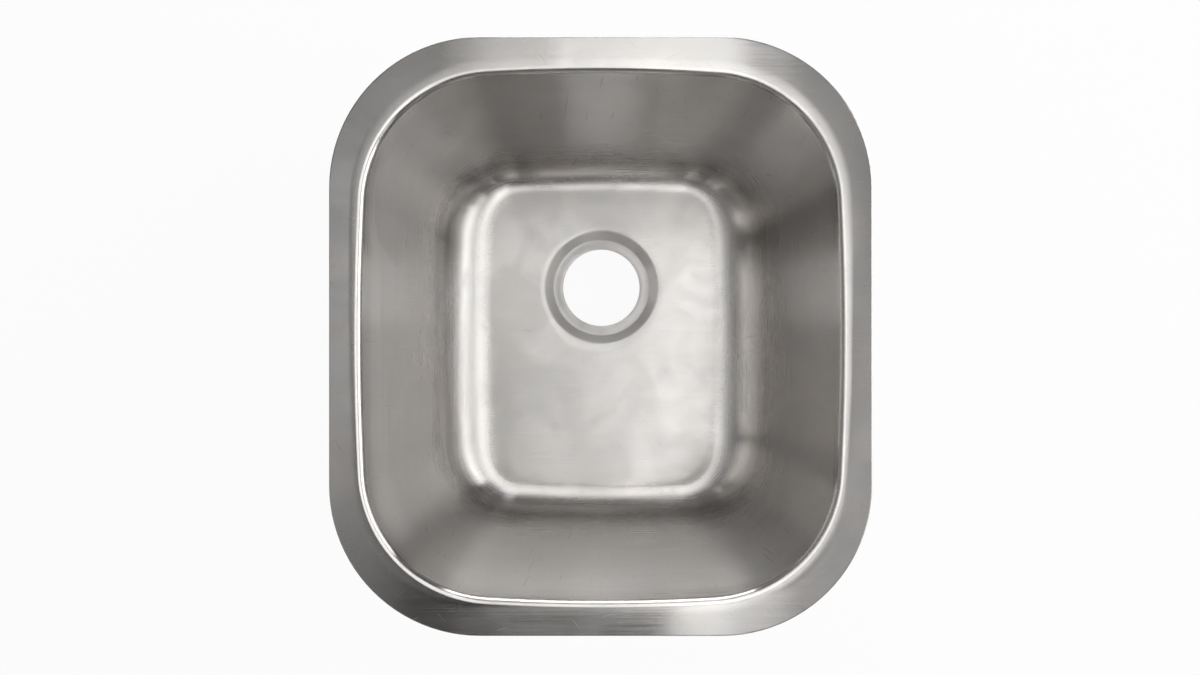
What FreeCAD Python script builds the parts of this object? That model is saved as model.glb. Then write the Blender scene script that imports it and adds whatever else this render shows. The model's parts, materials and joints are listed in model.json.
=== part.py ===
import FreeCAD, Part
import functools
import math
import os

from FreeCAD import Vector

# Undermount kitchen sink: one deep-drawn stainless bowl with its flange, and the sound deadening behind it.
# Millimetres. +X is the right side and +Y the back as the sink is used, +Z is up, and the origin is the
# middle of the flange's top face, which is glued under the worktop.

# ---- Driving sizes: the pressed sheet ----
sheet = 1.2                    # 18 gauge stainless steel
opening_width = 372.0          # left to right, where the walls would meet the flange's top face
opening_length = 410.0         # front to back, at the same level
opening_corner = 101.0         # corner radius there, seen from above
wall_bow = 2.5                 # how far the middle of each wall stands out past its ends
bowl_depth = 203.0             # flange top to the lowest point of the floor
side_draft = 3.25              # lean of the left and right walls, degrees
end_draft = 2.75               # lean of the front and back walls, degrees
foot_corner = 82.0             # corner radius at the foot of the walls
side_cove = 46.0               # radius from the floor up into the left and right walls
end_cove = 26.0                # radius from the floor up into the front and back walls
fall_radius = 8000.0           # the floor is part of a ball, so that it drains to its lowest point

# ---- Driving sizes: the flange ----
flange_side = 23.5             # flange width left and right, from the opening
flange_end = 26.0              # flange width front and back
flange_corner = 116.0          # outer corner radius
rim_bend = 4.5                 # radius of the top face where the flange turns down into the wall

# ---- Driving sizes: the drain ----
drain_back = 60.0              # drain axis behind the bowl's middle
drain_bore = 90.0              # punched hole, diameter
seat_diameter = 112.0          # flat seat that a strainer's flange lies on
seat_depth = 7.5               # seat below the floor
shoulder = 9.0                 # run of the slope from the seat out to the floor
seat_bend = 3.0                # radius of the top face at the foot of that slope
lip_bend = 5.0                 # radius of the top face at its head

# ---- Driving sizes: the sound deadening ----
coat = 0.8                     # thickness of the sprayed undercoat
pad = 3.0                      # thickness of the rubber pads
pad_corner = 18.0              # corner radius of their outlines
bare_band = 24.0               # steel left bare under the flange, from the flange's top face
nut_clearance = 7.0            # steel left bare round the drain's slope, for the strainer's nut and washer
floor_margin = 20.0            # floor pad to the edge of the floor's flat
wall_margin = 12.0             # wall pads to the corners, the cove and the bare band

# ---- Worked out from those ----
flange_half_x = opening_width / 2 + flange_side
flange_half_y = opening_length / 2 + flange_end
seat_top = -bowl_depth - seat_depth
bare_radius = seat_diameter / 2 + shoulder + nut_clearance
wall_pad_top = -bare_band - wall_margin
wall_pad_foot = -bowl_depth + max(side_cove, end_cove) + wall_margin

# How far cutting shapes run past what they cut, and how near counts as level
spare = 30.0
level = 0.01


def flat_half(opening, draft, cove):
    """Half the width of the floor's flat between two opposite walls."""
    foot = opening / 2 - bowl_depth * math.tan(math.radians(draft))
    return foot - cove * math.tan(math.radians((90 - draft) / 2))


def bowed_radius(half_chord, bow):
    """Radius of an arc that rises by bow over a chord of twice half_chord."""
    return (half_chord ** 2 + bow ** 2) / (2 * bow)


def bowed_outline(half_x, half_y, corner, z):
    """Closed wire at height z: four walls that bow outwards, and a tangent arc at each corner."""
    side_radius = bowed_radius(half_y - corner, wall_bow)
    end_radius = bowed_radius(half_x - corner, wall_bow)
    side_centre = Vector(half_x - side_radius, 0, 0)
    end_centre = Vector(0, half_y - end_radius, 0)
    # A corner arc touches both from inside, so its centre lies on a circle round each of theirs.
    from_side = side_radius - corner
    from_end = end_radius - corner
    between = end_centre - side_centre
    apart = between.Length
    along = between / apart
    across = Vector(along.y, -along.x, 0)
    if across.x < 0:
        across = -across
    reach = (from_side ** 2 - from_end ** 2 + apart ** 2) / (2 * apart)
    rise = math.sqrt(from_side ** 2 - reach ** 2)
    centre = side_centre + along * reach + across * rise
    side_touch = centre + (centre - side_centre) * (corner / from_side)
    end_touch = centre + (centre - end_centre) * (corner / from_end)
    middle = centre + ((side_touch - centre) + (end_touch - centre)).normalize() * corner
    arcs = []
    for sx, sy in ((1, 1), (-1, 1), (-1, -1), (1, -1)):
        def at(point):
            return Vector(sx * point.x, sy * point.y, z)
        arcs.append((at(side_touch), at(middle), at(end_touch)))
    right, left = Vector(half_x, 0, z), Vector(-half_x, 0, z)
    back, front = Vector(0, half_y, z), Vector(0, -half_y, z)
    path = [
        (arcs[3][0], right, arcs[0][0]), arcs[0],
        (arcs[0][2], back, arcs[1][2]), arcs[1][::-1],
        (arcs[1][0], left, arcs[2][0]), arcs[2],
        (arcs[2][2], front, arcs[3][2]), arcs[3][::-1],
    ]
    return Part.Wire([Part.Arc(*points).toShape() for points in path])


def wall_outline(grow, z):
    """The walls' outline at height z, with every wall moved outwards by grow."""
    lean_x = math.radians(side_draft)
    lean_y = math.radians(end_draft)
    half_x = opening_width / 2 + z * math.tan(lean_x) + grow / math.cos(lean_x)
    half_y = opening_length / 2 + z * math.tan(lean_y) + grow / math.cos(lean_y)
    corner = opening_corner + z * (opening_corner - foot_corner) / bowl_depth + grow
    return bowed_outline(half_x, half_y, corner, z)


def foot_radii(edge, grow):
    """Cove radius at the two ends of one edge of the foot: a corner runs from one radius to the other."""
    start = edge.Vertexes[0].Point
    end = edge.Vertexes[-1].Point
    middle = edge.CenterOfMass
    if abs(middle.y) < 1:
        radii = (side_cove, side_cove)
    elif abs(middle.x) < 1:
        radii = (end_cove, end_cove)
    elif abs(start.x) > abs(end.x):
        radii = (side_cove, end_cove)
    else:
        radii = (end_cove, side_cove)
    return radii[0] + grow, radii[1] + grow


@functools.lru_cache(maxsize=None)
def tub(grow):
    """The space inside the walls and floor as one solid, with every face moved outwards by grow."""
    prism = Part.makeLoft([wall_outline(grow, -bowl_depth - spare), wall_outline(grow, spare)], True, True)
    ball_centre = Vector(0, drain_back, fall_radius - bowl_depth)
    ball = Part.makeSphere(fall_radius + grow, ball_centre, Vector(1, 0, 0))
    blank = prism.common(ball).Solids[0]
    document = FreeCAD.newDocument()
    base = document.addObject("Part::Feature", "Blank")
    base.Shape = blank
    cove = document.addObject("Part::Fillet", "Cove")
    cove.Base = base
    radii = []
    for number, edge in enumerate(base.Shape.Edges, 1):
        box = edge.BoundBox
        if box.ZMax < -bowl_depth / 2 and box.ZLength < spare:
            radii.append((number, *foot_radii(edge, grow)))
    cove.Edges = radii
    document.recompute()
    solid = cove.Shape.Solids[0].copy()
    FreeCAD.closeDocument(document.Name)
    return solid


def ring_edges(solid, radius, z, slack=1.0):
    """Edges of solid that are circles round the drain's axis, near this radius and height."""
    found = []
    for edge in solid.Edges:
        box = edge.BoundBox
        near_axis = abs(box.Center.x) < slack and abs(box.Center.y - drain_back) < slack
        near_size = abs(box.XLength / 2 - radius) < slack
        if near_axis and near_size and abs(box.Center.z - z) < slack:
            found.append(edge)
    return found


def skin(grow):
    """The tub with the drain's pocket under its floor, with every face moved outwards by grow."""
    slope = math.atan2(seat_depth, shoulder)
    outwards = grow * math.tan(slope / 2)
    seat_radius = seat_diameter / 2 + outwards
    lip_radius = seat_radius + shoulder
    above = seat_depth                     # the cone ends this far above the floor, inside the tub
    cone_height = seat_depth + above
    cone_top = seat_radius + cone_height / math.tan(slope)
    cone = Part.makeCone(seat_radius, cone_top, cone_height, Vector(0, drain_back, seat_top - grow))
    joined = tub(grow).fuse(cone)
    joined = joined.makeFillet(lip_bend - grow, ring_edges(joined, lip_radius, -bowl_depth - grow))
    return joined.makeFillet(seat_bend + grow, ring_edges(joined, seat_radius, seat_top - grow))


def rim_edges(solid, z):
    """Edges of the bowl's mouth: level at height z, and no further out than the middle of the flange."""
    found = []
    for edge in solid.Edges:
        box = edge.BoundBox
        flat = abs(box.ZMin - z) < level and abs(box.ZMax - z) < level
        inside_x = max(-box.XMin, box.XMax) < flange_half_x - flange_side / 2
        inside_y = max(-box.YMin, box.YMax) < flange_half_y - flange_end / 2
        if flat and inside_x and inside_y:
            found.append(edge)
    return found


def slab(low, high):
    """A block wider than the sink, between two heights."""
    half_x = flange_half_x + spare
    half_y = flange_half_y + spare
    return Part.makeBox(2 * half_x, 2 * half_y, high - low, Vector(-half_x, -half_y, low))


def rounded_prism(half_a, half_b, corner, height, place):
    """A block with rounded corners, drawn flat and then moved by place."""
    box = Part.makeBox(2 * half_a, 2 * half_b, height, Vector(-half_a, -half_b, 0))
    upright = [edge for edge in box.Edges if edge.BoundBox.ZLength > height / 2]
    rounded = box.makeFillet(corner, upright)
    rounded.Placement = place
    return rounded


def bowl():
    """The drawn sheet: flange, walls, coves, floor and drain seat in one piece."""
    plate = rounded_prism(flange_half_x, flange_half_y, flange_corner, sheet,
                          FreeCAD.Placement(Vector(0, 0, -sheet), FreeCAD.Rotation()))
    metal = skin(sheet).fuse(plate)
    metal = metal.makeFillet(rim_bend - sheet, rim_edges(metal, -sheet))
    air = skin(0.0).fuse(slab(0, 2 * spare))
    air = air.makeFillet(rim_bend, rim_edges(air, 0.0))
    hole = Part.makeCylinder(drain_bore / 2, 2 * spare, Vector(0, drain_back, seat_top - spare))
    return metal.cut(air).cut(hole)


def drain_clearance():
    """The round patch under the drain that nothing is stuck to or sprayed on."""
    return Part.makeCylinder(bare_radius, 2 * spare, Vector(0, drain_back, -bowl_depth - spare))


def wall_footprint(half_length, outwards):
    """A wall pad's outline, run out through the wall that faces along outwards."""
    flat = FreeCAD.Rotation(Vector(0, 0, 1), outwards)
    lengthwise = FreeCAD.Rotation(outwards, 90 * abs(outwards.x))
    reach = max(flange_half_x, flange_half_y)
    middle = Vector(0, 0, (wall_pad_top + wall_pad_foot) / 2)
    return rounded_prism(half_length, (wall_pad_top - wall_pad_foot) / 2, pad_corner, reach,
                         FreeCAD.Placement(middle, lengthwise * flat))


def footprints():
    """Each pad's name and outline."""
    side_half = opening_length / 2 - opening_corner - wall_margin
    end_half = opening_width / 2 - opening_corner - wall_margin
    floor_half_x = flat_half(opening_width, side_draft, side_cove) - floor_margin
    floor_half_y = flat_half(opening_length, end_draft, end_cove) - floor_margin
    floor_place = FreeCAD.Placement(Vector(0, 0, -bowl_depth - spare), FreeCAD.Rotation())
    return {
        "floor_pad": rounded_prism(floor_half_x, floor_half_y, pad_corner, 2 * spare, floor_place),
        "left_pad": wall_footprint(side_half, Vector(-1, 0, 0)),
        "right_pad": wall_footprint(side_half, Vector(1, 0, 0)),
        "front_pad": wall_footprint(end_half, Vector(0, -1, 0)),
        "rear_pad": wall_footprint(end_half, Vector(0, 1, 0)),
    }


def pads():
    """Rubber pads, each stuck to the bare steel inside its outline."""
    made = {}
    for name, outline in footprints().items():
        made[name] = tub(sheet + pad).common(outline).cut(tub(sheet)).cut(drain_clearance())
    return made


def undercoat():
    """The sprayed coat over the outside, up to the edges of the pads."""
    layer = tub(sheet + coat).cut(tub(sheet))
    layer = layer.cut(slab(-bare_band, 2 * spare)).cut(drain_clearance())
    for outline in footprints().values():
        layer = layer.cut(outline)
    return layer


def sink():
    """Every piece by name."""
    pieces = {"bowl": bowl(), "undercoat": undercoat()}
    pieces.update(pads())
    return pieces


os.makedirs("parts", exist_ok=True)
for name, shape in sink().items():
    shape.exportStep("parts/" + name + ".step")
    box = shape.optimalBoundingBox()
    print("%-10s %d solid(s), %.1f cm3" % (name, len(shape.Solids), shape.Volume / 1000), end=", ")
    print("%.1f x %.1f mm, z from %.1f to %.1f" % (box.XLength, box.YLength, box.ZMin, box.ZMax))
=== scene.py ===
# %% [markdown]
# # An undermount kitchen sink
#
# The real thing is one sheet of stainless steel, pressed in several draws into a bowl. Its flat flange is
# glued up under a stone worktop, so nobody sees the outside, and the maker sprays that with a grey
# undercoat and sticks black rubber pads on it to quieten the water.
#
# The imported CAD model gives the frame: where every piece is, in metres, with the origin in the middle of
# the flange's top face, +Z up and +Y to the back. Pieces are made in place, so nothing is fitted
# afterwards.

# %% Load the frame
import json
import math

import bmesh
import bpy
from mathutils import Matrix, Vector


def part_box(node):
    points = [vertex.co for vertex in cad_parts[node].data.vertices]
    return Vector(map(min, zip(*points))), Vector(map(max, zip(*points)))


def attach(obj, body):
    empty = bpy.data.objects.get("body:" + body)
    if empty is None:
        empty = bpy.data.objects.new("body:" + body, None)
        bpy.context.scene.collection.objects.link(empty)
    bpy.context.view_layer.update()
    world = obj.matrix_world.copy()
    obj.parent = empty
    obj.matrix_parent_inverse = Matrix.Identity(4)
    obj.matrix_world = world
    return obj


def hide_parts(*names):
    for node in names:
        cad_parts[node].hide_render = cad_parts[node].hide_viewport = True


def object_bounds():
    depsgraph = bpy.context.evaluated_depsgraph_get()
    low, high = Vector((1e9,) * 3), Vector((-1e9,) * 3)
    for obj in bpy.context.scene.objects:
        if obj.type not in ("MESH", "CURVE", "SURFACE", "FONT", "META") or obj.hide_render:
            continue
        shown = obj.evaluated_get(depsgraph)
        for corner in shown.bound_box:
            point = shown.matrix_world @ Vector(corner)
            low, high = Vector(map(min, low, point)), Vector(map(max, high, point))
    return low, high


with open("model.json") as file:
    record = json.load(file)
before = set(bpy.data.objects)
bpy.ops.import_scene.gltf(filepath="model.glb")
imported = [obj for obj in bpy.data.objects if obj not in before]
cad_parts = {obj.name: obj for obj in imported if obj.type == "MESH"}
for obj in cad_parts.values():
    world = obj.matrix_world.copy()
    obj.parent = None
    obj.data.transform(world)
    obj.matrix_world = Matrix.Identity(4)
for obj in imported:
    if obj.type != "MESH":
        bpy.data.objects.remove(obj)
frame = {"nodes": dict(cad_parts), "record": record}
cad_box = [list(corner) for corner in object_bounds()]
nodes = frame["nodes"]
mounts = {mount["name"]: mount for mount in frame["record"]["mounts"]}
print("nodes:", ", ".join(sorted(nodes)))
print("CAD box:", [[round(value, 4) for value in corner] for corner in cad_box])

# %% [markdown]
# ## The sizes that the press tool gives
#
# The overall size, the sheet's thickness and the drain come from the frame. The rest are the tool's own
# shape: how the walls lean, how round the corners are, and the cove, the large hollow radius between wall
# and floor that lets a cloth wipe the bowl clean. The walls bow out a little, because a pressed wall that
# was dead flat would look dented.

# %% Sizes
MM = 0.001
sheet = -mounts["flange_underside"]["pos_m"][2]
flange_half_x, flange_half_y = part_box("bowl")[1][:2]
flange_corner = 116 * MM
opening_half_x = flange_half_x - 23.5 * MM
opening_half_y = flange_half_y - 26 * MM
opening_corner = 101 * MM
foot_corner = 82 * MM
wall_bow = 2.5 * MM
side_lean = math.tan(math.radians(3.25))
end_lean = math.tan(math.radians(2.75))
bowl_depth = 203 * MM
rim_bend = 4.5 * MM
side_cove = 46 * MM
end_cove = 26 * MM
drain = Vector(mounts["drain_hole"]["pos_m"][:2])
drain_radius = mounts["drain_hole"]["dims"]["r_mm"] * MM
seat_top = mounts["drain_seat"]["pos_m"][2]
seat_radius = 56 * MM
shoulder = 9 * MM
seat_bend = 3 * MM
lip_bend = 5 * MM
fall_radius = 8.0
fall_centre = Vector((*drain, fall_radius - bowl_depth))
print("sheet %.1f mm, drain hole %.0f mm across" % (sheet / MM, 2 * drain_radius / MM))

# %% [markdown]
# ## Stations round the bowl
#
# Every level of the bowl is the same kind of outline: four slightly bowed sides and four round corners. A
# station is one place round that outline, named by its quarter, its part (side, corner or end) and how far
# along it lies. As each level has the same stations, a ring of edges can be pulled from one level to the
# next, and the mesh has only clean four-sided faces.

# %% Stations and outlines
SIDE_STEPS = 9
CORNER_STEPS = 24
END_STEPS = 8
QUARTER_SIGNS = ((1, 1), (-1, 1), (-1, -1), (1, -1))


def quarter_stations():
    """Parts and shares from the middle of a side wall, round the corner, to the middle of an end wall."""
    parts = (("side", SIDE_STEPS), ("corner", CORNER_STEPS), ("end", END_STEPS))
    return [(part, step / steps) for part, steps in parts for step in range(steps)] + [("end", 1.0)]


def all_stations():
    """Stations round the whole outline, anticlockwise from the middle of the right side."""
    found = []
    for number, signs in enumerate(QUARTER_SIGNS):
        quarter = quarter_stations()
        if number % 2:
            quarter.reverse()
        found += [(signs, part, share) for part, share in quarter[:-1]]
    return found


def outline_point(station, half_x, half_y, corner, bow):
    """Place and outward direction of a station on one outline, both in the plane."""
    signs, part, share = station
    side_radius = ((half_y - corner) ** 2 + bow ** 2) / (2 * bow)
    end_radius = ((half_x - corner) ** 2 + bow ** 2) / (2 * bow)
    side_centre = Vector((half_x - side_radius, 0))
    end_centre = Vector((0, half_y - end_radius))
    from_side, from_end = side_radius - corner, end_radius - corner
    along = end_centre - side_centre
    apart = along.length
    along.normalize()
    reach = (from_side ** 2 - from_end ** 2 + apart ** 2) / (2 * apart)
    rise = math.sqrt(from_side ** 2 - reach ** 2)
    across = Vector((along.y, -along.x))
    corner_centre = side_centre + along * reach + across * math.copysign(rise, across.x)
    start = math.atan2(corner_centre.y - side_centre.y, corner_centre.x - side_centre.x)
    stop = math.atan2(corner_centre.y - end_centre.y, corner_centre.x - end_centre.x)
    if part == "side":
        centre, radius, angle = side_centre, side_radius, start * share
    elif part == "corner":
        centre, radius, angle = corner_centre, corner, start + (stop - start) * share
    else:
        centre, radius, angle = end_centre, end_radius, stop + (math.pi / 2 - stop) * share
    out = Vector((math.cos(angle), math.sin(angle)))
    place = centre + out * radius
    return Vector((signs[0] * place.x, signs[1] * place.y)), Vector((signs[0] * out.x, signs[1] * out.y))


def flange_edge(station):
    """Place of a station on the flange's outer edge, which has straight sides and round corners."""
    signs, part, share = station
    centre = Vector((flange_half_x - flange_corner, flange_half_y - flange_corner))
    if part == "side":
        place = Vector((flange_half_x, centre.y * share))
    elif part == "corner":
        angle = math.pi / 2 * share
        place = centre + Vector((math.cos(angle), math.sin(angle))) * flange_corner
    else:
        place = Vector((centre.x * (1 - share), flange_half_y))
    return Vector((signs[0] * place.x, signs[1] * place.y, 0))


stations = all_stations()
print("stations round each ring:", len(stations))

# %% [markdown]
# ## One section through the sheet
#
# At each station the sheet's top face runs in from the flange's edge, over the rim bend, down the wall,
# round the cove, across the floor and into the drain. The two bends are arcs that touch their neighbours,
# as a ball of that radius rolled along the joint would, so light slides over them without a crease. The
# floor is a small piece of a ball of 8 m radius whose lowest point is the drain, which is what makes the
# water run out.

# %% Sections
RIM_STEPS = 8
WALL_STEPS = 14
COVE_STEPS = 16
FLOOR_STEPS = 14
BEND_STEPS = 4
FLANGE_SHARES = (0.0, 0.04, 0.35, 0.7)


def wall_point(station, z):
    """Place of a station on the wall at height z, and the wall's outward normal there."""
    def level(height):
        corner = opening_corner + height * (opening_corner - foot_corner) / bowl_depth
        return outline_point(station, opening_half_x + height * side_lean,
                             opening_half_y + height * end_lean, corner, wall_bow)
    place, out = level(z)
    lean = (level(0)[0] - level(-bowl_depth)[0]).dot(out) / bowl_depth
    return Vector((*place, z)), Vector((*out, -lean)).normalized()


def arc(centre, radius, start, stop, steps):
    """Points on a ball from direction start to direction stop, without the first one."""
    return [centre + start.slerp(stop, step / steps) * radius for step in range(1, steps + 1)]


def straight(start, stop, steps):
    """Points from start to stop, without the first one."""
    return [start.lerp(stop, step / steps) for step in range(1, steps + 1)]


def on_floor(place):
    """The floor's height under a place in the plane."""
    away = (place.xy - drain).length
    return Vector((place.x, place.y, fall_centre.z - math.sqrt(fall_radius ** 2 - away ** 2)))


def cove_radius(station):
    """Large along the sides, small along the ends, and even in between round the corners."""
    _, part, share = station
    eased = share * share * (3 - 2 * share)
    return {"side": side_cove, "end": end_cove}.get(part, side_cove + (end_cove - side_cove) * eased)


def flange_and_rim(station):
    """From the flange's outer edge over the rim bend."""
    up = Vector((0, 0, 1))
    mouth, wall_out = wall_point(station, 0)
    out = Vector((wall_out.x, wall_out.y, 0)).normalized()
    slope = -wall_out.z
    centre = mouth + out * rim_bend * (1 - slope) / math.sqrt(1 - slope ** 2) - up * rim_bend
    inner = centre + up * rim_bend
    flange = [flange_edge(station).lerp(inner, share) for share in FLANGE_SHARES] + [inner]
    return flange, arc(centre, rim_bend, up, -wall_out, RIM_STEPS)


def wall_and_cove(station, top):
    """From the rim bend down the wall and round the cove."""
    radius = cove_radius(station)
    z = radius - bowl_depth
    for _ in range(6):
        touch, wall_out = wall_point(station, z)
        centre = touch - wall_out * radius
        z -= fall_radius - radius - (centre - fall_centre).length
    heights = [top.z + (touch.z - top.z) * step / WALL_STEPS for step in range(1, WALL_STEPS + 1)]
    wall = [wall_point(station, height)[0] for height in heights]
    down = (centre - fall_centre).normalized()
    return wall, arc(centre, radius, wall_out, down, COVE_STEPS)


def floor_and_drain(foot):
    """From the cove across the floor, down the drain's shoulder and over the seat to the hole."""
    away = (foot.xy - drain).normalized()

    def at(radius, z):
        return Vector((*(drain + away * radius), z))
    run = Vector((shoulder, -bowl_depth - seat_top)).normalized()
    over = Vector((-run.y, run.x))
    foot_of_slope = Vector((seat_radius, seat_top))
    lip = foot_of_slope - over * lip_bend + run * shoulder
    for _ in range(6):
        lip += run * (fall_radius + lip_bend - (lip - Vector((0, fall_centre.z))).length) / -run.y
    upright = (Vector((0, fall_centre.z)) - lip).normalized()
    hollow = foot_of_slope + Vector((-seat_bend * (1 - over.y) / -over.x, seat_bend))
    lip_start = lip + upright * lip_bend
    start = at(lip_start.x, lip_start.y)
    floor = [on_floor(foot.lerp(start, step / FLOOR_STEPS)) for step in range(1, FLOOR_STEPS)] + [start]
    lip_arc = [at(*point) for point in arc(lip, lip_bend, upright, over, BEND_STEPS)]
    slope_end = hollow - over * seat_bend
    slope = straight(lip_arc[-1], at(*slope_end), 3)
    seat_arc = [at(*point) for point in arc(hollow, seat_bend, -over, Vector((0, -1)), BEND_STEPS)]
    seat = straight(seat_arc[-1], at(drain_radius, seat_top), 3)
    return floor, lip_arc + slope + seat_arc, seat


def section(station):
    """Every place down the sheet at one station, and the zone that each lies in.

    Zones run 0 to 1 over the flange, 1 to 2 over the rim bend, 2 to 3 down the wall, 3 to 4 round the cove,
    4 to 5 over the floor, 5 to 6 down the drain's shoulder and 6 to 7 over its seat."""
    flange, rim = flange_and_rim(station)
    wall, cove = wall_and_cove(station, rim[-1])
    floor, recess, seat = floor_and_drain(cove[-1])
    places, zones = [flange[0]], [0.0]
    for number, part in enumerate((flange[1:], rim, wall, cove, floor, recess, seat)):
        places += part
        zones += [number + (step + 1) / len(part) for step in range(len(part))]
    return places, zones


sections = [section(station) for station in stations]
zones = sections[0][1]
print("rings from the flange's edge to the drain hole:", len(zones))
right_side = sections[0][0]
wall_foot = len(FLANGE_SHARES) + RIM_STEPS + WALL_STEPS
print("middle of the right side: wall foot x %.1f mm, floor edge x %.1f mm" % (
    right_side[wall_foot].x / MM, right_side[wall_foot + COVE_STEPS].x / MM))

# %% [markdown]
# ## Drawing the bowl
#
# The press draws the bowl from the flange inwards, and so does this: a ring of edges starts as a circle
# operator's ring on the flange's edge, and is extruded from level to level down to the drain hole. A box
# with rounded edges or a cut-out made with booleans would give the shape too, but its faces would run
# across the corners, and polished steel shows every such face. The sheet's thickness goes downwards, and
# its sheared edges get a small bevel, because a deburred edge catches a thin line of light.

# %% The bowl's mesh


def next_ring(bm, ring, places):
    """Extrudes a ring of vertices and moves the new ring to its places."""
    edges = [bm.edges.get(pair) for pair in zip(ring, ring[1:] + ring[:1])]
    made = bmesh.ops.extrude_edge_only(bm, edges=edges)["geom"]
    fresh = {item for item in made if isinstance(item, bmesh.types.BMVert)}
    pulled = []
    for vert, place in zip(ring, places):
        new = next(edge.other_vert(vert) for edge in vert.link_edges if edge.other_vert(vert) in fresh)
        new.co = place
        pulled.append(new)
    return pulled


def drawn_bowl():
    """The sheet's top face, with the zone and the length down the sheet kept on its points."""
    bm = bmesh.new()
    zone_layer = bm.verts.layers.float.new("zone")
    down_layer = bm.verts.layers.float.new("down")
    ring = bmesh.ops.create_circle(bm, cap_ends=False, segments=len(stations), radius=1)["verts"]
    ring.sort(key=lambda vert: math.atan2(vert.co.y, vert.co.x) % (2 * math.pi))
    for vert, (places, _) in zip(ring, sections):
        vert.co = places[0]
    down = [0.0] * len(stations)
    for level in range(1, len(zones)):
        ring = next_ring(bm, ring, [places[level] for places, _ in sections])
        for number, (places, _) in enumerate(sections):
            down[number] += (places[level] - places[level - 1]).length
            ring[number][down_layer] = down[number]
            ring[number][zone_layer] = zones[level]
    bm.faces.ensure_lookup_table()
    if bm.faces[0].normal.z < 0:
        bmesh.ops.reverse_faces(bm, faces=bm.faces[:])
    return bm


def make_piece(bm, name):
    """A smooth-shaded object from a bmesh, at the origin and unturned."""
    mesh = bpy.data.meshes.new(name)
    for face in bm.faces:
        face.smooth = True
    bm.to_mesh(mesh)
    bm.free()
    piece = bpy.data.objects.new(name, mesh)
    bpy.context.scene.collection.objects.link(piece)
    return piece


steel_bowl = make_piece(drawn_bowl(), "pressed_bowl")
thickness = steel_bowl.modifiers.new("sheet thickness", "SOLIDIFY")
thickness.thickness = sheet
thickness.offset = -1
thickness.use_even_offset = True
deburr = steel_bowl.modifiers.new("deburred edges", "BEVEL")
deburr.width = 0.25 * MM
deburr.segments = 2
deburr.limit_method = "ANGLE"
deburr.angle_limit = math.radians(50)
deburr.profile = 0.5
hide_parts("bowl")
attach(steel_bowl, "root")
print("bowl faces:", len(steel_bowl.data.polygons))

# %% [markdown]
# ## Node helpers
#
# A finish is a small tree of shader nodes. These helpers make a node, set its sockets and join it up in one
# line, so that each material below reads like a recipe. Streaks come from noise on coordinates that are
# stretched a lot more one way than the other, with the length and the width of a streak given in metres.

# %% Helpers for materials


def new_material(name):
    """An empty material, its node tree and its shader."""
    material = bpy.data.materials.new(name)
    material.use_nodes = True
    return material, material.node_tree, material.node_tree.nodes["Principled BSDF"]


def add(tree, kind, inputs=(), **settings):
    """A node with its settings and inputs: an input is a number, a colour or another node's output."""
    node = tree.nodes.new("ShaderNode" + kind)
    for name, value in settings.items():
        setattr(node, name, value)
    for key, value in dict(inputs).items():
        if isinstance(value, bpy.types.NodeSocket):
            tree.links.new(value, node.inputs[key])
        else:
            node.inputs[key].default_value = value
    return node


def calculate(tree, operation, *values):
    """The result of one Math node."""
    return add(tree, "Math", dict(enumerate(values)), operation=operation).outputs[0]


def ramp(tree, factor, stops):
    """A ramp between colours or grey values: stops are pairs of place and value."""
    node = add(tree, "ValToRGB", {"Fac": factor})
    elements = node.color_ramp.elements
    while len(elements) < len(stops):
        elements.new(0.5)
    for element, (place, value) in zip(elements, stops):
        element.position = place
        element.color = (*value, 1) if isinstance(value, tuple) else (value, value, value, 1)
    return node.outputs["Color"]


def noise(tree, vector, scale=1.0, detail=2.0, distortion=0.0):
    """Soft noise around 0.5."""
    inputs = {"Vector": vector, "Scale": scale, "Detail": detail, "Distortion": distortion}
    return add(tree, "TexNoise", inputs).outputs["Fac"]


def stretched(tree, vector, sizes, turn=0.0):
    """Coordinates in which a streak of these sizes, turned by this angle about Z, is one unit each way."""
    inputs = {"Vector": vector, "Rotation": (0, 0, turn), "Scale": sizes}
    return add(tree, "Mapping", inputs, vector_type="TEXTURE").outputs[0]


def blend(tree, factor, low, high):
    """A value between low and high."""
    return add(tree, "Mix", {0: factor, 2: low, 3: high}, data_type="FLOAT").outputs[0]


def tint(tree, colour, factor, strength):
    """A colour made darker or lighter where the factor lies below or above 0.5."""
    around = calculate(tree, "MULTIPLY_ADD", factor, strength, 1 - strength / 2)
    return add(tree, "VectorMath", {0: colour, 1: around}, operation="MULTIPLY").outputs[0]


# %% [markdown]
# ## Brushed stainless steel
#
# Every part of the bowl is the same steel, but it was rubbed down in another way. The flange and the floor
# keep the sheet's own grain, which runs from side to side. Belts smooth the walls round the bowl and leave
# them satin, and the coves are buffed last, so they shine a little more. The zone kept on the mesh tells
# the finishes apart, and the length down the sheet gives the wall's grain, which follows the corners as the
# belt did. Fine grooves spread light across themselves and hardly along themselves, which is what
# anisotropy does, and why a brushed corner shows wedges of light and dark. On top lie what handling leaves:
# faint smudges, hair scratches and specks.

# %% Stainless steel
ZONES = 7
STEEL = (0.5, 0.49, 0.48)
WARM_STEEL = (0.525, 0.503, 0.482)
SATIN = ((0, .2), (1, .2), (1.3, .18), (1.9, .2), (2.1, .34), (2.9, .26), (3.15, .24),
         (3.9, .24), (4.1, .3), (5, .3), (5.3, .4), (7, .4))


def by_zone(tree, zone, stops):
    """A value that changes with the zone."""
    share = calculate(tree, "DIVIDE", zone, ZONES)
    return ramp(tree, share, [(place / ZONES, value) for place, value in stops])


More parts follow.
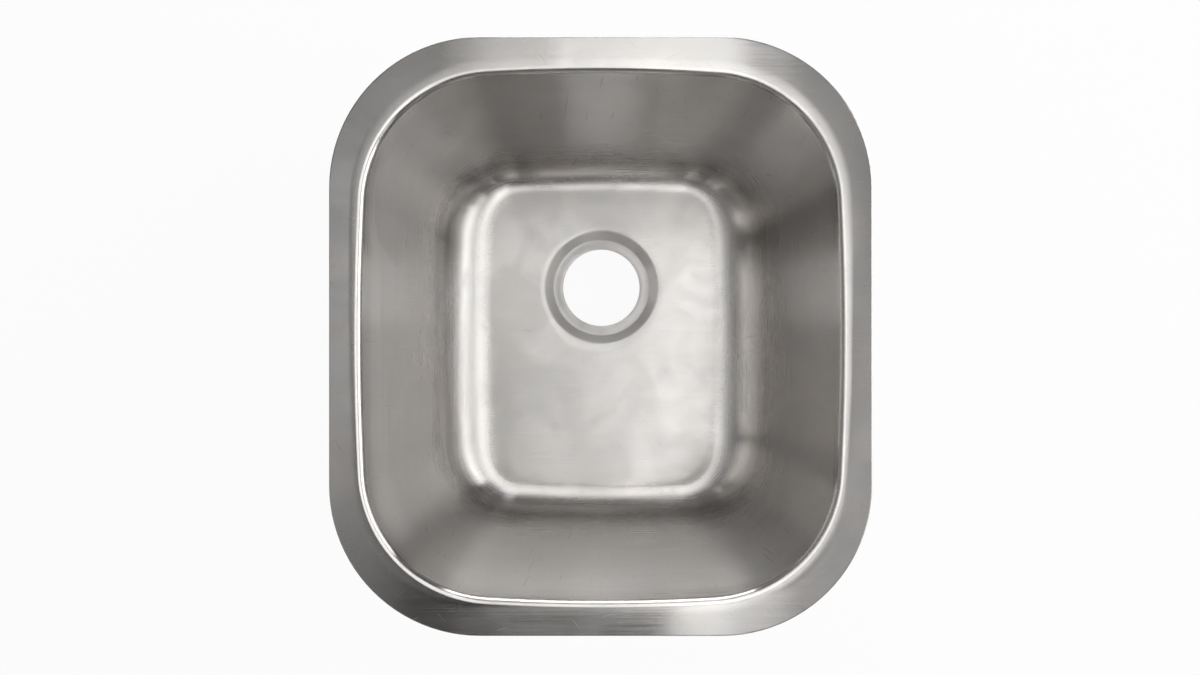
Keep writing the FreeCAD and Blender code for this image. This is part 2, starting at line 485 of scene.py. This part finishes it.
def steel_grain(tree, place, down, on_walls):
    """Fine grooves: side to side on flat parts, and round the bowl on walls and coves."""
    axes = add(tree, "SeparateXYZ", {0: place}).outputs
    round_bowl = add(tree, "CombineXYZ", {0: axes[0], 1: axes[1], 2: down}).outputs[0]
    flat = noise(tree, stretched(tree, place, (90 * MM, 0.7 * MM, 1)), detail=3)
    wall = noise(tree, stretched(tree, round_bowl, (120 * MM, 120 * MM, 0.9 * MM)), detail=3)
    return blend(tree, on_walls, flat, wall)


def scratches(tree, place):
    """Hair scratches in two directions, 1 on a scratch and 0 elsewhere."""
    found = []
    for turn, length in ((0.35, 28 * MM), (-0.9, 17 * MM)):
        lines = noise(tree, stretched(tree, place, (length, 0.5 * MM, length), turn), detail=0)
        found.append(ramp(tree, lines, [(0, 0), (0.8, 0), (0.84, 1), (1, 1)]))
    return calculate(tree, "MAXIMUM", *found)


def specks(tree, place):
    """Small round specks, 1 on a speck and 0 elsewhere."""
    cells = add(tree, "TexVoronoi", {"Vector": place, "Scale": 70}).outputs
    near = ramp(tree, cells["Distance"], [(0, 1), (0.03, 1), (0.05, 0)])
    chosen = ramp(tree, cells["Color"], [(0, 0), (0.62, 0), (0.64, 1)])
    return calculate(tree, "MULTIPLY", near, chosen)


def stainless():
    """Satin steel whose roughness and grain follow the zones."""
    material, tree, shader = new_material("brushed_stainless")
    zone = add(tree, "Attribute", attribute_name="zone").outputs["Fac"]
    down = add(tree, "Attribute", attribute_name="down").outputs["Fac"]
    place = add(tree, "TexCoord").outputs["Object"]
    on_walls = by_zone(tree, zone, [(1.3, 0), (1.9, 1), (3.7, 1), (4.1, 0)])
    grain = steel_grain(tree, place, down, on_walls)
    marks = calculate(tree, "MAXIMUM", scratches(tree, place), specks(tree, place))
    smudge = ramp(tree, noise(tree, place, 16, detail=6, distortion=0.8), [(0.42, 0), (0.62, 1)])

    satin = by_zone(tree, zone, SATIN)
    rough = calculate(tree, "MULTIPLY_ADD", grain, 0.14, calculate(tree, "SUBTRACT", satin, 0.07))
    rough = calculate(tree, "MULTIPLY_ADD", smudge, 0.035, rough)
    rough = calculate(tree, "MULTIPLY_ADD", marks, 0.1, rough)

    mottle = noise(tree, stretched(tree, place, (70 * MM, 35 * MM, 70 * MM)), detail=5, distortion=0.6)
    colour = ramp(tree, mottle, [(0.3, STEEL), (0.7, WARM_STEEL)])
    colour = tint(tree, colour, grain, 0.16)
    colour = tint(tree, colour, calculate(tree, "SUBTRACT", 1, smudge), 0.05)
    colour = tint(tree, colour, calculate(tree, "SUBTRACT", 1, marks), 0.22)

    waves = noise(tree, place, 13, detail=1)
    waved = add(tree, "Bump", {"Height": waves, "Strength": 1.0, "Distance": 0.2 * MM}).outputs[0]
    grooves = {"Height": grain, "Strength": 1.0, "Distance": 0.006 * MM, "Normal": waved}
    bump = add(tree, "Bump", grooves).outputs[0]

    shader.inputs["Metallic"].default_value = 1
    shader.inputs["Anisotropic"].default_value = 0.95
    across_grooves = add(tree, "CombineXYZ", {"X": 0, "Y": 0.05, "Z": 1}).outputs[0]
    sockets = (("Base Color", colour), ("Roughness", rough), ("Normal", bump), ("Tangent", across_grooves))
    for socket, value in sockets:
        tree.links.new(value, shader.inputs[socket])
    return material


steel_bowl.data.materials.append(stainless())
print("steel nodes:", len(steel_bowl.data.materials[0].node_tree.nodes))

# %% [markdown]
# ## Sprayed undercoat
#
# The coat is a thick water-based paint that is sprayed on and baked. It dries with an orange-peel skin, a
# little uneven in tone where two passes overlap, with coarse specks of the filler in it. It covers a CAD
# node that already has the right shape, so only its finish is made here.

# %% Undercoat
DARK_COAT = (0.34, 0.345, 0.35)
GREY_COAT = (0.43, 0.44, 0.45)
PALE_COAT = (0.52, 0.53, 0.54)


def undercoat():
    """Matt grey coat with an orange-peel skin and specks."""
    material, tree, shader = new_material("sprayed_undercoat")
    place = add(tree, "TexCoord").outputs["Object"]
    peel = noise(tree, place, 330, detail=3)
    specks_of_filler = noise(tree, place, 1500, detail=1)
    passes = noise(tree, stretched(tree, place, (240 * MM, 60 * MM, 60 * MM)), detail=4)
    colour = ramp(tree, specks_of_filler, [(0.3, DARK_COAT), (0.5, GREY_COAT), (0.72, PALE_COAT)])
    colour = tint(tree, tint(tree, colour, passes, 0.3), peel, 0.25)
    rough = calculate(tree, "MULTIPLY_ADD", peel, 0.2, 0.66)
    bump = add(tree, "Bump", {"Height": peel, "Strength": 1.0, "Distance": 0.35 * MM}).outputs[0]
    for socket, value in (("Base Color", colour), ("Roughness", rough), ("Normal", bump)):
        tree.links.new(value, shader.inputs[socket])
    return material


nodes["undercoat"].material_slots[0].material = undercoat()

# %% [markdown]
# ## Rubber pads
#
# The pads are die-cut from a black rubber sheet with a fine pebbled face, which picks up pale dust from the
# spray booth and a few rubbed places from packing. One finish serves all five.

# %% Rubber


def rubber():
    """Matt black rubber with pebbling, dust and rubbed places."""
    material, tree, shader = new_material("pebbled_rubber")
    place = add(tree, "TexCoord").outputs["Object"]
    pebbles = add(tree, "TexVoronoi", {"Vector": place, "Scale": 750}).outputs["Distance"]
    dust = ramp(tree, noise(tree, place, 22, detail=8, distortion=0.5), [(0.48, 0), (0.75, 1)])
    rubbed = ramp(tree, noise(tree, stretched(tree, place, (40 * MM, 3 * MM, 40 * MM), 0.5), detail=3),
                  [(0.58, 0), (0.72, 1)])
    pale = calculate(tree, "MULTIPLY_ADD", rubbed, 0.35, calculate(tree, "MULTIPLY", dust, 0.5))
    colour = ramp(tree, pale, [(0, (.028, .028, .03)), (1, (.17, .168, .165))])
    rough = calculate(tree, "MULTIPLY_ADD", dust, 0.2, 0.62)
    bump = add(tree, "Bump", {"Height": pebbles, "Strength": 1.0, "Distance": 0.25 * MM}).outputs[0]
    for socket, value in (("Base Color", colour), ("Roughness", rough), ("Normal", bump)):
        tree.links.new(value, shader.inputs[socket])
    return material


pad_rubber = rubber()
for name in sorted(nodes):
    if name.endswith("_pad"):
        nodes[name].material_slots[0].material = pad_rubber
        print("rubber on", name)

# %% [markdown]
# ## Camera
#
# The sink was photographed from straight above, close to it with a wide lens, so the walls are seen all
# round.

# %% Camera
CAMERA_PLACE = (1.6 * MM, -5.2 * MM, 0.401)
FOCAL_PIXELS = 520
SHIFT_PIXELS = (-2.7, 5.7)
IMAGE_WIDTH = 1200
SENSOR = 36
camera_data = bpy.data.cameras.new("camera")
camera_data.sensor_width = SENSOR
camera_data.lens = SENSOR * FOCAL_PIXELS / IMAGE_WIDTH
camera_data.shift_x = SHIFT_PIXELS[0] / IMAGE_WIDTH
camera_data.shift_y = SHIFT_PIXELS[1] / IMAGE_WIDTH
camera_data.clip_start = 0.01
camera = bpy.data.objects.new("camera", camera_data)
camera.location = CAMERA_PLACE
bpy.context.scene.collection.objects.link(camera)
bpy.context.scene.camera = camera
print("camera %.0f mm above the flange, lens %.1f mm" % (camera.location.z / MM, camera_data.lens))

# %% [markdown]
# ## White floor
#
# The sink stands on a white sweep. A camera ray, or one that the steel reflects, mostly sees an even white,
# and the small rest is plain paint, which keeps the sink's own soft shadow. From below the floor isn't
# there, so the underside can be looked at.

# %% Floor
WHITE_SHARE = 0.92
FLOOR_HALF_SIZE = 12


def white_floor():
    """Plain paint under an even white that only camera rays and mirror rays see; clear from below."""
    material, tree, shader = new_material("white_floor")
    shader.inputs["Base Color"].default_value = (0.9, 0.9, 0.9, 1)
    shader.inputs["Roughness"].default_value = 0.9
    rays = add(tree, "LightPath").outputs
    seen = calculate(tree, "MAXIMUM", rays["Is Camera Ray"], rays["Is Glossy Ray"])
    white = add(tree, "Emission", {"Strength": 1.0}).outputs[0]
    clear = add(tree, "BsdfTransparent").outputs[0]
    share = calculate(tree, "MULTIPLY", seen, WHITE_SHARE)
    painted = add(tree, "MixShader", {0: share, 1: shader.outputs[0], 2: white}).outputs[0]
    behind = add(tree, "NewGeometry").outputs["Backfacing"]
    both = add(tree, "MixShader", {0: behind, 1: painted, 2: clear}).outputs[0]
    tree.links.new(both, tree.nodes["Material Output"].inputs["Surface"])
    return material


bm = bmesh.new()
bmesh.ops.create_grid(bm, x_segments=1, y_segments=1, size=FLOOR_HALF_SIZE)
bmesh.ops.translate(bm, verts=bm.verts, vec=(0, 0, cad_box[0][2]))
floor = make_piece(bm, "floor")
floor.data.materials.append(white_floor())
print("floor at z %.1f mm" % (cad_box[0][2] / MM))

# %% [markdown]
# ## Placing lamps by direction
#
# A shiny bowl shows where each lamp stands, so a lamp is best thought of as a direction and a size in
# degrees, as seen from the bowl. It could be near and small, but then its reflection would slide about from
# wall to wall. These lamps are far off, so that their light comes the same way to the whole bowl. A lamp's
# glow says how bright its face looks, with 1 as white.

# %% Lamp helpers
LAMP_DISTANCE = 6.0
CARD_DISTANCE = 3.0


def toward(azimuth, zenith):
    """A direction from the mouth: azimuth from the right to the back, zenith down from straight above."""
    turn, tip = math.radians(azimuth), math.radians(zenith)
    return Vector((math.sin(tip) * math.cos(turn), math.sin(tip) * math.sin(turn), math.cos(tip)))


def across(angle, distance):
    """The size of something that looks so many degrees wide from that distance."""
    return 2 * distance * math.tan(math.radians(angle) / 2)


def face_bowl(item, azimuth, zenith, distance):
    """Sets an object so far from the bowl, with its face to it."""
    item.location = toward(azimuth, zenith) * distance
    item.rotation_euler = toward(azimuth, zenith).to_track_quat("Z", "Y").to_euler()


def soft_box(name, azimuth, zenith, wide, high, glow):
    """An area lamp that faces the bowl and looks so many degrees wide and high from there."""
    data = bpy.data.lights.new(name, "AREA")
    data.shape = "RECTANGLE"
    data.size, data.size_y = across(wide, LAMP_DISTANCE), across(high, LAMP_DISTANCE)
    data.energy = glow * math.pi * data.size * data.size_y
    lamp = bpy.data.objects.new(name, data)
    bpy.context.scene.collection.objects.link(lamp)
    face_bowl(lamp, azimuth, zenith, LAMP_DISTANCE)


def black_card(azimuth, zenith, wide, high):
    """A card that keeps light off and shows dark in the steel."""
    bm = bmesh.new()
    bmesh.ops.create_grid(bm, x_segments=1, y_segments=1, size=0.5)
    bmesh.ops.scale(bm, verts=bm.verts, vec=(across(wide, CARD_DISTANCE), across(high, CARD_DISTANCE), 1))
    card = make_piece(bm, "black card")
    material, _, shader = new_material("black card")
    shader.inputs["Base Color"].default_value = (0.02, 0.02, 0.02, 1)
    shader.inputs["Roughness"].default_value = 1
    card.data.materials.append(material)
    card.visible_camera = False
    face_bowl(card, azimuth, zenith, CARD_DISTANCE)


def room_light(axis, stops):
    """A world that is brightest along one direction and fades away from it; camera rays see plain white."""
    world = bpy.data.worlds.new("room")
    bpy.context.scene.world = world
    world.use_nodes = True
    tree = world.node_tree
    direction = add(tree, "TexCoord").outputs["Generated"]
    both_ways = {0: direction, 1: tuple(axis)}
    along = add(tree, "VectorMath", both_ways, operation="DOT_PRODUCT").outputs["Value"]
    fading = add(tree, "Background", {"Color": ramp(tree, along, stops), "Strength": 1.0}).outputs[0]
    white = add(tree, "Background", {"Color": (1, 1, 1, 1), "Strength": 1.0}).outputs[0]
    seen = add(tree, "LightPath").outputs["Is Camera Ray"]
    both = add(tree, "MixShader", {0: seen, 1: fading, 2: white}).outputs[0]
    tree.links.new(both, tree.nodes["World Output"].inputs["Surface"])


# %% [markdown]
# ## The room's light
#
# The sink was photographed indoors. Soft light comes from the ceiling, a little from the right, and fades
# towards the sides, and pale walls stand round the room. A lamp stands low on the right and a window is
# behind. The photographer's dark clothes shade the front, and a black card, as studios use, stands for
# them.

# %% Lamps
room_light(toward(20, 16), [(0.3, 0.32), (0.55, 0.04), (0.8, 0.12), (0.9, 0.25), (0.985, 0.3)])
soft_box("ceiling light", 0, 2, 46, 35, 1.35)
soft_box("right half of the ceiling light", 345, 15, 44, 18, 0.8)
soft_box("lamp at the right", 0, 48, 56, 10, 2.4)
soft_box("low lamp at the right", 10, 65, 50, 25, 3.6)
soft_box("rear window", 90, 76, 30, 22, 5.5)
soft_box("rear lamp", 79, 50, 11, 22, 0.6)
soft_box("left rear window", 160, 84, 50, 11, 0.5)
soft_box("rear ceiling", 80, 28, 19, 8, 2.4)
soft_box("left part of the rear ceiling", 108, 29, 8, 8, 1.1)
soft_box("left rear ceiling", 140, 32, 22, 10, 0.55)
soft_box("left ceiling", 190, 30, 30, 12, 0.45)
soft_box("front ceiling", 289, 30, 8, 8, 1.4)
soft_box("right front ceiling", 325, 33, 20, 10, 0.45)
soft_box("right ceiling", 2, 32, 14, 9, 0.36)
black_card(257, 33, 27, 28)
bpy.context.scene.view_settings.view_transform = "Standard"
print("lamps:", len(bpy.data.lights))
